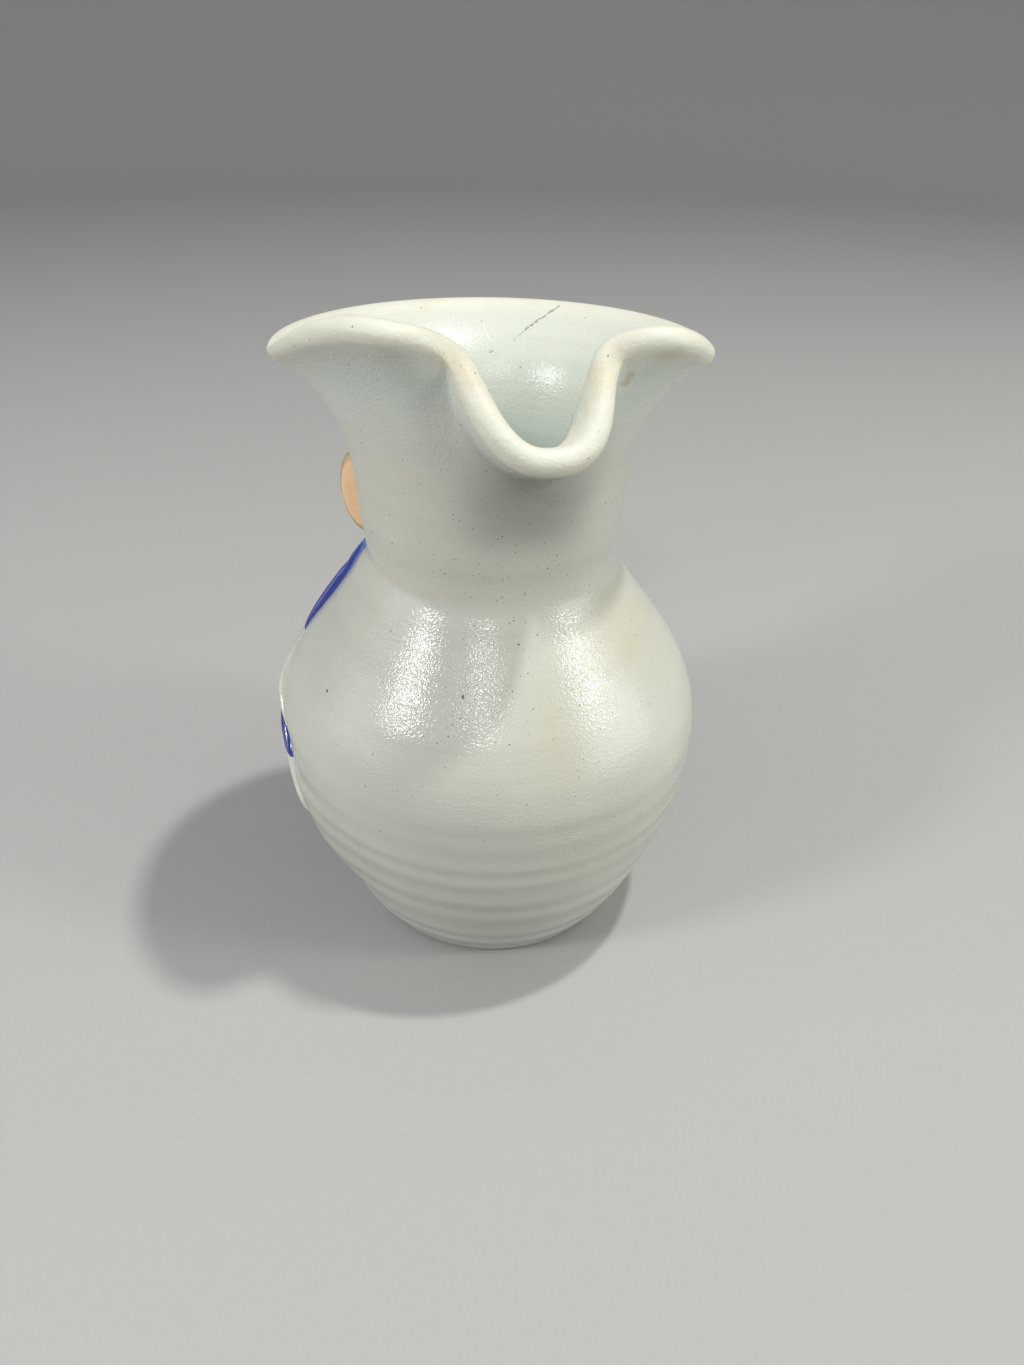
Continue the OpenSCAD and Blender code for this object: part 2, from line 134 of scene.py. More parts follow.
def from_table(table, x):
    # Value at x on the line through a table's points
    return np.interp(x, *zip(*table))


# Belly profile, outer radius at a height
steps = np.linspace(0, 1, 300)
belly_line = np.concatenate([cubic(LOW_CURVE, steps), cubic(HIGH_CURVE, steps[1:])])


def belly_at(z):
    return np.interp(z, belly_line[:, 1], belly_line[:, 0])


# Middle surface of the neck
def lip_height(b):
    a = np.abs(b)
    left = CREST * smooth((CREST_FROM_LEFT - a) / CREST_SPAN)
    right = (CREST - CREST_LESS) * smooth((CREST_FROM_RIGHT - a) / CREST_SPAN)
    crest = mix(left, right, smooth((b + DIP_HALF) / DIP_HALF / 2))
    dip = DIP * np.exp(-(a / DIP_HALF) ** np.where(b < 0, DIP_LEFT, DIP_RIGHT))
    return RIM_Z + TILT * dcos(b - HIGH_SIDE) + crest - dip


def neck_mid(s, b):
    lip = LIP_R - PINCH * bell(np.abs(b), PINCH_AT, PINCH_SPAN)
    late = FLARE - (FLARE - SPOUT_FLARE) * np.exp(-(b / PINCH_AT) ** 2)
    r = MID_R + SWELL * smooth(s / 0.25) + LEAN * s * s
    r = r + (lip - MID_R - SWELL - LEAN) * np.abs(s) ** late
    z = JOINT_Z + (RIM_Z - JOINT_Z) * s + (lip_height(b) - RIM_Z) * s ** 3
    return np.stack([r * dsin(b), -r * dcos(b), z], -1)


def neck_up(s, b):
    return unit(neck_mid(s + RISE_STEP, b) - neck_mid(s - RISE_STEP, b))


def neck_out(s, b):
    across = neck_mid(s, b + TURN_STEP) - neck_mid(s, b - TURN_STEP)
    out = unit(np.cross(across, neck_up(s, b)))
    flat = np.stack([dsin(b), -dcos(b), np.zeros_like(b)], -1)
    return np.where((s < 0.01)[..., None], flat, out)


def half_wall(s, b):
    # The wall thins towards the rim, away from the spout
    thin = smooth((s - THIN_S) / (1 - THIN_S)) * smooth((np.abs(b) - THIN_FROM) / THIN_SPAN)
    return mix(NECK_WALL, RIM_T, thin) / 2


def neck_skin(s, b, n):
    return neck_mid(s, b) + (half_wall(s, b) + n)[..., None] * neck_out(s, b)


def neck_inside(s, b):
    return neck_mid(s, b) - half_wall(s, b)[..., None] * neck_out(s, b)


def lip_roll(a, b):
    # Round of the lip, from the outside at 0 degrees over its edge to the inside at 180
    one = np.ones_like(b)
    side = (half_wall(one, b) * dcos(a))[..., None] * neck_out(one, b)
    return neck_mid(one, b) + side + NECK_WALL / 2 * dsin(a) * neck_up(one, b)


# A point n outside the jug's skin, at bearing u from the middle of the face and height z
def on_neck(u, z, n):
    u, z, n = np.broadcast_arrays(*[np.asarray(v, float) for v in (u, z, n)])
    b = 180 - u
    b = np.where(b > 180, b - 360, b)
    s = (z - JOINT_Z) / (RIM_Z - JOINT_Z)
    for k in range(4):
        s = s + (z - neck_skin(s, b, np.zeros_like(s))[..., 2]) / (RIM_Z - JOINT_Z)
    return neck_skin(np.clip(s, 0, 1), b, n)


def on_belly(u, z, n):
    u, z, n = np.broadcast_arrays(*[np.asarray(v, float) for v in (u, z, n)])
    slope = (belly_at(z + SLOPE_STEP) - belly_at(z - SLOPE_STEP)) / (2 * SLOPE_STEP)
    length = np.sqrt(1 + slope * slope)
    r = belly_at(z) + n / length
    return np.stack([r * dsin(u), r * dcos(u), z - n * slope / length], -1)


def on_jug(u, z, n):
    low = (np.asarray(z, float) < NECK_Z)[..., None]
    return np.where(low, on_belly(u, z, n), on_neck(u, z, n))


jug_z = np.linspace(40, 146, 400)
jug_line = on_jug(0 * jug_z, jug_z, 0 * jug_z)[:, 1]


def jug_r(z):
    return np.interp(z, jug_z, jug_line)


# Mask: half width, middle line and front, measured along +y
def mask_half(z):
    up = np.clip((z - WIDE_Z) / (HAIR_Z - WIDE_Z + THIRD * 0.026), 0, 1) ** 2.6
    down = np.clip((WIDE_Z - z) / (THIRD * 1.79), 0, 1) ** 2.2
    return FACE_HALF * np.sqrt(1 - np.where(z > WIDE_Z, up, down))


def filled_r(z):
    return jug_r(z) + THIRD * 0.116 * bell(z, NECK_Z, THIRD * 0.42)


def mask_mid(z):
    h = (z - NOSE_Z) / THIRD
    curve = 0.0665 * h * h - 0.19 * h - 0.18 * smooth((-0.21 - h) / 0.37)
    front = NECK_R + FACE_OUT + THIRD * curve
    back = filled_r(z) + EDGE_T * 2
    return (back + front + np.hypot(back - front, THIRD * 0.06)) / 2


def mask_y(x, z):
    r = filled_r(z)
    q = np.minimum(0.999, np.abs(x) / mask_half(z))
    edge = np.sqrt(np.maximum(1, r * r - x * x)) + EDGE_T
    return edge + (mask_mid(z) - r - EDGE_T) * (1 - q ** 2.2) ** 0.7


def on_mask(x, z, n):
    x, z, n = np.broadcast_arrays(*[np.asarray(v, float) for v in (x, z, n)])
    return np.stack([x, mask_y(x, z) + n, z], -1)


# Bearing of the ears, beside the mask
EAR_AT = float(np.degrees(np.arcsin(mask_half(EAR_MID) / jug_r(EAR_MID)) + EAR_GAP / jug_r(EAR_MID)))


# Mesh of a stack of rings, closed at both ends, with values on its points for the glazes
def loft(name, rings, marks):
    rings = np.asarray(rings) * MM
    n, m = rings.shape[:2]
    points = [tuple(p) for p in rings.reshape(-1, 3)]
    faces = []
    for i in range(n - 1):
        for j in range(m):
            k = (j + 1) % m
            faces.append((i * m + j, i * m + k, (i + 1) * m + k, (i + 1) * m + j))
    for row, flip in ((0, True), (n - 1, False)):
        points.append(tuple(rings[row].mean(0)))
        for j in range(m):
            a, b = row * m + j, row * m + (j + 1) % m
            faces.append((b, a, len(points) - 1) if flip else (a, b, len(points) - 1))
    mesh = bpy.data.meshes.new(name)
    mesh.from_pydata(points, [], faces)
    mesh.validate()
    mesh.shade_smooth()
    for label, values in marks.items():
        values = np.asarray(values, float)
        flat = np.concatenate([values.reshape(-1), [values[0].mean(), values[-1].mean()]])
        mesh.attributes.new(label, "FLOAT", "POINT").data.foreach_set("value", flat)
    piece = bpy.data.objects.new(name, mesh)
    bpy.context.scene.collection.objects.link(piece)
    return piece


def outward(piece):
    # Flips the faces of a mesh that is inside out
    mesh = piece.data
    volume = 0.0
    for face in mesh.polygons:
        c = [mesh.vertices[v].co for v in face.vertices]
        for k in range(1, len(c) - 1):
            volume += c[0].dot(c[k].cross(c[k + 1]))
    if volume < 0:
        mesh.flip_normals()


def finish_piece(piece, node_names, material):
    outward(piece)
    piece.data.materials.append(material)
    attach(piece, "root")
    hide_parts(*node_names)


def single(node, rows, marks, slot, material):
    finish_piece(loft(node + "_glazed", rows, marks), [node], material)


def both_sides(pattern, rows, marks, slot, material):
    # A piece on the right and its mirror image on the left; the pattern has a place for the side
    for side, label in ((RIGHT, "right"), (LEFT, "left")):
        single(pattern.format(label), np.asarray(rows) * (side, 1, 1), marks, slot, material)


# Shader building
def put(tree, kind, inputs=None, **settings):
    node = tree.nodes.new("ShaderNode" + kind)
    for key, value in settings.items():
        setattr(node, key, value)
    for key, value in (inputs or {}).items():
        socket = node.inputs[key]
        if isinstance(value, bpy.types.NodeSocket):
            tree.links.new(value, socket)
        else:
            socket.default_value = value
    return node


def calc(tree, operation, a, b, clamp=False):
    return put(tree, "Math", {0: a, 1: b}, operation=operation, use_clamp=clamp).outputs[0]


def times(tree, a, b):
    return calc(tree, "MULTIPLY", a, b)


def fade(tree, value, low, high, out_low=0.0, out_high=1.0):
    ranges = {"Value": value, "From Min": low, "From Max": high, "To Min": out_low, "To Max": out_high}
    return put(tree, "MapRange", ranges, interpolation_type="SMOOTHSTEP").outputs[0]


def blend(tree, factor, a, b):
    node = put(tree, "Mix", data_type="RGBA", clamp_factor=True)
    for index, value in ((0, factor), (6, a), (7, b)):
        if isinstance(value, bpy.types.NodeSocket):
            tree.links.new(value, node.inputs[index])
        else:
            node.inputs[index].default_value = value
    return node.outputs[2]


def cloud(tree, place, scale, detail, rough=0.5):
    settings = {"Vector": place, "Scale": scale, "Detail": detail, "Roughness": rough}
    return put(tree, "TexNoise", settings).outputs[0]


def where(tree):
    return put(tree, "TexCoord").outputs["Object"]


def stretched(tree, place, scale):
    return put(tree, "Mapping", {"Vector": place, "Scale": scale}).outputs[0]


def effect(name, outputs):
    tree = bpy.data.node_groups.new(name, "ShaderNodeTree")
    for label in outputs:
        tree.interface.new_socket(label, in_out="OUTPUT", socket_type="NodeSocketFloat")
    return tree, tree.nodes.new("NodeGroupOutput")


# Iron specks burnt through the glaze: many pinpoints, fewer dots
def iron_specks():
    # Each layer: cells in a metre, radius of the largest dot in a cell, share of cells with a dot
    layers = ((820, 0.16, 0.55), (430, 0.115, 0.5), (110, 0.055, 0.25))
    sharpness = 24.0
    tree, out = effect("iron_specks", ["Speck", "Dense"])
    place = where(tree)
    masks = []
    for cells, largest, share in layers:
        dots = put(tree, "TexVoronoi", {"Vector": place, "Scale": cells, "Randomness": 1.0})
        spread = put(tree, "SeparateColor", {0: dots.outputs["Color"]}).outputs[0]
        near = calc(tree, "SUBTRACT", times(tree, spread, largest), dots.outputs["Distance"])
        dot = calc(tree, "MULTIPLY", near, sharpness, clamp=True)
        masks.append(times(tree, dot, calc(tree, "GREATER_THAN", spread, 1 - share)))
    few = calc(tree, "MAXIMUM", masks[1], masks[2])
    tree.links.new(few, out.inputs["Speck"])
    tree.links.new(calc(tree, "MAXIMUM", few, masks[0]), out.inputs["Dense"])
    return tree


# Unevenness of the glaze: slow clouds, smaller patches, a fine tooth and a soft peel
def glaze_surface():
    # Each output has the scale, detail and roughness of its noise
    layers = {"Cloud": (34.0, 3.0, 0.55), "Patch": (75.0, 4.0, 0.6),
              "Tooth": (1900.0, 1.0, 0.5), "Peel": (620.0, 3.0, 0.5)}
    tree, out = effect("glaze_surface", layers)
    place = where(tree)
    for label, noise in layers.items():
        tree.links.new(cloud(tree, place, *noise), out.inputs[label])
    return tree


# Fine lines that the thrower's fingers leave round the wall
def throwing_lines():
    tree, out = effect("throwing_lines", ["Line"])
    lines = cloud(tree, stretched(tree, where(tree), (9.0, 9.0, 420.0)), 1.0, 3.0, 0.6)
    tree.links.new(lines, out.inputs["Line"])
    return tree


def to_line(tree, place, start, end):
    # Distance from a point to a short straight line
    start = np.array(start) * MM
    along = np.array(end) * MM - start
    offset = put(tree, "VectorMath", {0: place, 1: tuple(start)}, operation="SUBTRACT").outputs[0]
    share = tuple(along / along.dot(along))
    reach = put(tree, "VectorMath", {0: offset, 1: share}, operation="DOT_PRODUCT").outputs["Value"]
    reach = calc(tree, "MULTIPLY", reach, 1.0, clamp=True)
    foot = put(tree, "VectorMath", {0: tuple(along), "Scale": reach}, operation="SCALE").outputs[0]
    return put(tree, "VectorMath", {0: offset, 1: foot}, operation="DISTANCE").outputs["Value"]


# Marks: two ends, half width of the core and half width in all, in millimetres, and strength
CRACKS = (((25.7, 34.4, 147.4), (16.5, 31.4, 143.1), 0.12, 0.4, 0.6),
          ((16.5, 31.4, 143.1), (13.0, 30.0, 140.8), 0.108, 0.36, 0.32),
          ((7.7, 29.8, 139.1), (7.2, 29.8, 138.6), 0.12, 0.4, 0.55),
          ((-26.4, -35.5, 157.8), (-25.2, -34.4, 155.9), 0.06, 0.2, 0.3),
          ((-23.4, -35.3, 157.0), (-22.2, -34.2, 155.1), 0.066, 0.22, 0.45),
          ((-6.7, -50.8, 59.2), (4.7, -51.1, 57.0), 0.054, 0.18, 0.3))
LARGE_SPECKS = (((-41.6, -14.6, 76.8), (-45.6, -16.1, 77.5), 0.248, 0.62, 0.9),
                ((-14.6, -35.2, 84.7), (-16.0, -38.5, 85.4), 0.16, 0.4, 0.9))
RUST_SPOTS = (((19.0, -32.4, 149.4), (18.3, -31.6, 147.6), 0.2, 1.3, 0.5),
              ((24.2, -34.8, 153.2), (26.4, -35.3, 153.7), 0.2, 2.6, 0.14),
              ((-14.3, -33.8, 153.8), (-12.4, -36.3, 151.3), 0.2, 2.4, 0.2),
              ((11.6, -34.1, 151.3), (10.6, -37.9, 147.8), 0.2, 2.6, 0.22))


def strongest(tree, place, marks):
    # The strongest of several marks at each point
    total = None
    for start, end, core, width, strength in marks:
        near = to_line(tree, place, start, end)
        spot = fade(tree, near, core * MM, width * MM, strength, 0.0)
        total = spot if total is None else calc(tree, "MAXIMUM", total, spot)
    return total


# Marks from the kiln and from use: a broken hairline inside the back, scratches beside the lip and
# across the belly, two larger specks, and rust
def kiln_marks():
    wander = 0.0014
    tree, out = effect("kiln_marks", ["Crack", "Rust"])
    place = where(tree)
    noise = put(tree, "TexNoise", {"Vector": place, "Scale": 700.0, "Detail": 2.0}).outputs["Color"]
    shift = put(tree, "VectorMath", {0: noise, 1: (0.5, 0.5, 0.5)}, operation="SUBTRACT").outputs[0]
    shift = put(tree, "VectorMath", {0: shift, "Scale": wander}, operation="SCALE").outputs[0]
    place = put(tree, "VectorMath", {0: place, 1: shift}, operation="ADD").outputs[0]
    broken = fade(tree, put(tree, "SeparateColor", {0: noise}).outputs[1], 0.38, 0.5, 0.25, 1.0)
    crack = times(tree, strongest(tree, place, CRACKS), broken)
    crack = calc(tree, "MAXIMUM", crack, strongest(tree, place, LARGE_SPECKS))
    tree.links.new(crack, out.inputs["Crack"])
    tree.links.new(strongest(tree, place, RUST_SPOTS), out.inputs["Rust"])
    return tree


SPECKS = iron_specks()
SURFACE = glaze_surface()
LINES = throwing_lines()
MARKS = kiln_marks()

# Glaze colours
BODY_LOW, BODY_HIGH = (0.595, 0.61, 0.54, 1), (0.655, 0.655, 0.575, 1)
TAN, STAIN, RUST = (0.62, 0.535, 0.34, 1), (0.64, 0.55, 0.34, 1), (0.52, 0.40, 0.19, 1)
PAINTED_SHADOW, PALE, CREAM = (0.31, 0.32, 0.30, 1), (0.71, 0.765, 0.71, 1), (0.775, 0.77, 0.655, 1)
# The deep tone is greener than the inside, and lighter as painted light
INSIDE, DEEP = (0.67, 0.70, 0.62, 1), (0.75, 0.83, 0.745, 1)
THIN, CRACK, IRON = (0.45, 0.43, 0.37, 1), (0.10, 0.085, 0.07, 1), (0.05, 0.042, 0.035, 1)
CLAY_LOW, CLAY_HIGH = (0.36, 0.28, 0.20, 1), (0.47, 0.39, 0.29, 1)
PALE_BLUE = (0.30, 0.40, 0.66, 1)
EYE_LOW, EYE_HIGH = (0.70, 0.70, 0.63, 1), (0.75, 0.74, 0.66, 1)
BROWN_LOW, BROWN_HIGH, PUPIL = (0.09, 0.045, 0.02, 1), (0.20, 0.10, 0.04, 1), (0.012, 0.01, 0.01, 1)
GLAZE_IOR = 1.5


def new_glaze(name):
    material = bpy.data.materials.new(name)
    material.use_nodes = True
    tree = material.node_tree
    shader = tree.nodes["Principled BSDF"]
    specks = put(tree, "Group", node_tree=SPECKS).outputs
    surface = put(tree, "Group", node_tree=SURFACE).outputs
    return material, tree, shader, specks, surface


def mark(tree, name):
    return put(tree, "Attribute", attribute_name=name).outputs["Fac"]


def relief(tree, shader, layers):
    # Stacks bump heights, each with its own depth in metres
    normal = None
    for height, depth in layers:
        bump = put(tree, "Bump", {"Height": height, "Distance": depth, "Strength": 1.0})
        if normal is not None:
            tree.links.new(normal, bump.inputs["Normal"])
        normal = bump.outputs[0]
    tree.links.new(normal, shader.inputs["Normal"])


def glossy(shader, coat, coat_rough=0.12):
    shader.inputs["IOR"].default_value = GLAZE_IOR
    shader.inputs["Coat Weight"].default_value = coat
    shader.inputs["Coat Roughness"].default_value = coat_rough


def wall_colour(tree, surface):
    return blend(tree, fade(tree, surface["Cloud"], 0.2, 0.8), BODY_LOW, BODY_HIGH)


# Grey-white body glaze: a painted shadow makes it greyer under the spout; paler on the flare, partly as
# painted light, and near the foot;
# cream on the lip and inside, carried down the inside of the spout partly as painted light; lighter deep
# inside, partly as painted light; tan where iron shows, and bare clay underneath
def body_glaze():
    material, tree, shader, specks, surface = new_glaze("grey_white_glaze")
    lip, inside, foot = [mark(tree, name) for name in ("lip", "inside", "foot")]
    lines = put(tree, "Group", node_tree=LINES).outputs["Line"]
    marks = put(tree, "Group", node_tree=MARKS).outputs
    tan = times(tree, mark(tree, "tan"), fade(tree, surface["Patch"], 0.1, 0.9, 0.35, 1.0))
    stain = times(tree, lip, fade(tree, surface["Patch"], 0.44, 0.74))
    dense = times(tree, specks["Dense"], mark(tree, "iron"))
    dots = calc(tree, "MAXIMUM", dense, times(tree, specks["Speck"], 0.7))
    colour = wall_colour(tree, surface)
    for share, tint in (
            (times(tree, tan, 0.5), TAN),
            (times(tree, mark(tree, "shade"), 0.75), PAINTED_SHADOW),
            (mark(tree, "pale"), PALE),
            (inside, INSIDE),
            (times(tree, mark(tree, "deep"), 0.8), DEEP),
            (lip, CREAM),
            (times(tree, stain, 0.3), STAIN),
            (mark(tree, "bleed"), PALE_BLUE),
            (times(tree, fade(tree, lines, 0.45, 0.8), 0.12), THIN),
            (times(tree, dots, 0.9), IRON),
            (marks["Rust"], RUST),
            (marks["Crack"], CRACK),
            (foot, blend(tree, surface["Peel"], CLAY_LOW, CLAY_HIGH))):
        colour = blend(tree, share, colour, tint)
    tree.links.new(colour, shader.inputs["Base Color"])
    rough = fade(tree, surface["Cloud"], 0.2, 0.8, 0.15, 0.21)
    rough = calc(tree, "ADD", rough, times(tree, inside, 0.08))
    for share, dull in ((lip, 0.5), (foot, 0.85)):
        rough = calc(tree, "MAXIMUM", rough, times(tree, share, dull))
    tree.links.new(rough, shader.inputs["Roughness"])
    shader.inputs["IOR"].default_value = GLAZE_IOR
    wheel = times(tree, lines, calc(tree, "SUBTRACT", 1.0, inside))
    relief(tree, shader, [(wheel, 0.00006), (surface["Peel"], 0.00004), (surface["Tooth"], 0.00009)])
    return material


# A coloured glaze for the applied clay, thin and paler or darker where it breaks over an edge
def relief_glaze(name, low, high, edge, edge_share, rough, coat):
    material, tree, shader, specks, surface = new_glaze(name)
    colour = blend(tree, fade(tree, surface["Cloud"], 0.35, 0.65), low, high)
    broken = calc(tree, "ADD", mark(tree, "edge"), calc(tree, "SUBTRACT", surface["Patch"], 0.5))
    for share, tint in (
            (times(tree, fade(tree, surface["Patch"], 0.4, 0.7), 0.35), low),
            (times(tree, fade(tree, broken, 0.45, 1.0), edge_share), edge),
            (times(tree, mark(tree, "bleed"), 0.8), PALE_BLUE),
            (mark(tree, "merge"), wall_colour(tree, surface)),
            (times(tree, specks["Speck"], 0.8), IRON)):
        colour = blend(tree, share, colour, tint)
    tree.links.new(colour, shader.inputs["Base Color"])
    uneven = fade(tree, surface["Cloud"], 0.3, 0.7, rough - 0.05, rough + 0.06)
    tree.links.new(uneven, shader.inputs["Roughness"])
    glossy(shader, coat)
    relief(tree, shader, [(surface["Peel"], 0.00010), (surface["Tooth"], 0.00005)])
    return material


def eye_glaze():
    material, tree, shader, specks, surface = new_glaze("eye_glaze")
    colour = blend(tree, fade(tree, surface["Cloud"], 0.35, 0.65), EYE_LOW, EYE_HIGH)
    ring = calc(tree, "ADD", mark(tree, "iris"), times(tree, surface["Peel"], 0.12))
    brown = blend(tree, fade(tree, surface["Patch"], 0.35, 0.65), BROWN_LOW, BROWN_HIGH)
    for share, tint in (
            (fade(tree, ring, 1.02, 1.12, 1.0, 0.0), brown),
            (fade(tree, ring, 0.52, 0.6, 1.0, 0.0), PUPIL),
            (times(tree, specks["Speck"], 0.5), IRON)):
        colour = blend(tree, share, colour, tint)
    tree.links.new(colour, shader.inputs["Base Color"])
    tree.links.new(fade(tree, surface["Cloud"], 0.3, 0.7, 0.14, 0.22), shader.inputs["Roughness"])
    glossy(shader, 0.6, 0.06)
    relief(tree, shader, [(surface["Peel"], 0.0001)])
    return material


BODY = body_glaze()
WHITE = relief_glaze("white_glaze", low=(0.64, 0.65, 0.585, 1), high=(0.70, 0.70, 0.63, 1),
                     edge=(0.52, 0.47, 0.37, 1), edge_share=0.5, rough=0.27, coat=0.35)
BLUE = relief_glaze("cobalt_glaze", low=(0.012, 0.022, 0.20, 1), high=(0.03, 0.055, 0.34, 1),
                    edge=(0.20, 0.30, 0.62, 1), edge_share=0.8, rough=0.2, coat=0.5)
SKIN = relief_glaze("skin_glaze", low=(0.93, 0.61, 0.36, 1), high=(0.96, 0.66, 0.41, 1),
                    edge=(0.40, 0.33, 0.17, 1), edge_share=0.85, rough=0.3, coat=0.3)
LIPS = relief_glaze("lip_glaze", low=(0.60, 0.25, 0.16, 1), high=(0.68, 0.31, 0.20, 1),
                    edge=(0.40, 0.20, 0.12, 1), edge_share=0.7, rough=0.28, coat=0.35)
EYE = eye_glaze()


# Beard boundaries: straight lines from the jaw to the tips, in bearing and height
def jaw_turn(z):
    r = belly_at(z)
    return np.degrees(np.arcsin(np.minimum(0.95, mask_half(np.float64(z)) / r)) + ROOT_GAP / r)


def boundaries():
    # Shares at the roots: of the way down to the chin and of the jaw's turn
    down = (0, 0.44, 0.83, 1, 1, 1, 1, 1, 1, 1)
    turn = (1, 1, 1, 1, 0.855, 0.71, 0.565, 0.42, 0.265, 0.09)
    # Shares at the tips: of the sweep at the side, then of the whole reach and the way down below
    side = (0, 0.115, 0.676, 0.794, 1)
    foot = ((0.9, 0.45), (0.685, 0.7), (0.47, 0.87), (0.275, 0.97), (0.09, 1))
    lines = []
    for k in range(10):
        z = mix(FAN_TOP, CHIN_Z, down[k])
        if k < 5:
            tip = (FAN_REACH + FAN_SWEEP * side[k], FAN_TOP - SIDE_TIPS[k])
        else:
            share, drop = foot[k - 5]
            tip = ((FAN_REACH + FAN_SWEEP) * share, mix(FAN_TOP - SIDE_TIPS[4], FAN_FOOT, drop))
        lines.append((np.array([jaw_turn(z) * turn[k], z]), np.array(tip)))
    a, b = lines[9]
    lines.append((a * (-1, 1), b * (-1, 1)))
    return lines


FAN = boundaries()


def fan_edge(k, t):
    a, b = FAN[k]
    return mix(a, b, np.asarray(t)[..., None])


# The thrown jug, one wall from the foot over the lip to the floor inside
COLS = 288
ROW_STEP = 0.55
RING_STEP = 7.3
LIP_EDGE, LIP_SPAN = 0.93, 0.07
bearing = np.linspace(-180, 180, COLS, endpoint=False)

# Rings under the foot, as radius and height, and on the floor inside, as share of radius and height
FOOT_ROWS = ((7, 0.5), (16, 0.5), (23, 0.45), (26, 0.3),
             (27.4, 0.05), (28.8, 0.0), (29.9, 0.12), (30.6, 0.5))
FLOOR_ROWS = ((0.985, 0.9), (0.955, 0.35), (0.91, 0.08), (0.8, 0), (0.5, 0), (0.2, 0))

# Clay wiped over the ends of the locks: their bearing and its thickness, at a few heights
WIPE_END = ((30, 104), (49, 95), (61, 85), (77, 69), (90, 70), (100, 74))
WIPE_T = ((22, 0), (32, 1.1), (44, 1.5), (50, 0.5), (57, 0.5), (62, 1.7),
          (72, 2.0), (80, 1.6), (86, 1.3), (98, 1.2), (101, 0))


def finger_rings(z, b):
    # Soft ridges left by the thrower's fingers, stronger low down and beside the crease
    low = smooth((58 - z) / 20) * smooth((z - 1) / 6)
    strength = 0.03 + 0.09 * low + 0.14 * smooth((114 - z) / 8) * smooth((z - 93) / 6)
    climb = z + 4.5 * b / 360 + 0.5 * dsin(b + 40) + 1.2 * np.sin(z / RING_STEP)
    ridge = np.sin(climb * 2 * np.pi / RING_STEP) + 0.2 * np.sin(climb * 2 * np.pi / 4.9 + 1.0)
    return strength * ridge + 0.12 * dsin(2 * b + z) + 0.08 * dsin(3 * b - 2 * z)


def smoothed_clay(z, u):
    # Wet clay wiped over the ends of the locks, so that they run out into the wall
    end = from_table(WIPE_END, z)
    return from_table(WIPE_T, z) * smooth((u - end + 16) / 13) * (1 - smooth((u - end + 1) / 27))


def round_fold(points, b, share):
    # Eases the tight fold on the outside, where the wall turns in beside the spout
    eased = points
    for k in range(14):
        eased = (np.roll(eased, 1, 0) + 2 * eased + np.roll(eased, -1, 0)) / 4
    near = share * np.exp(-((np.abs(b) - PINCH_AT - 2) / 9) ** 4)
    return points + (eased - points) * near[:, None]


def soften(rows, first, last, passes):
    # Evens out neighbouring rows, so that a turn in the wall becomes a soft one
    block = np.array(rows[first:last])
    for k in range(passes):
        block[1:-1] = (block[:-2] + 2 * block[1:-1] + block[2:]) / 4
    rows[first:last] = list(block)


def thumb_dent(z, u):
    # A shallow press in the wall under the lowest side locks
    return -1.3 * np.exp(-((u - 111) / 11) ** 2 - ((z - 19) / 6) ** 2)


def blue_samples():
    spots = []
    for k in (0, 2, 4, 6, 8):
        for t in np.linspace(0.02, 0.97, 60):
            a, b = fan_edge(k, t), fan_edge(k + 1, t)
            spots += [mix(a, b, w) for w in np.linspace(0, 1, 7)]
    return np.array(spots)


BLUE_SPOTS = blue_samples()


def near_blue(u, z):
    # How close a point of the wall is to a cobalt lock, 0 to 1
    across = (np.abs(u)[:, None] - BLUE_SPOTS[:, 0]) * belly_at(z) / PER_RADIAN
    gap = np.hypot(across, z - BLUE_SPOTS[:, 1]).min(1)
    return 1 - smooth(gap / 2.6)


def turned(r, z, b):
    r, z = np.broadcast_arrays(r, z)
    return np.stack([r * dsin(b), -r * dcos(b), z + 0 * b], -1)


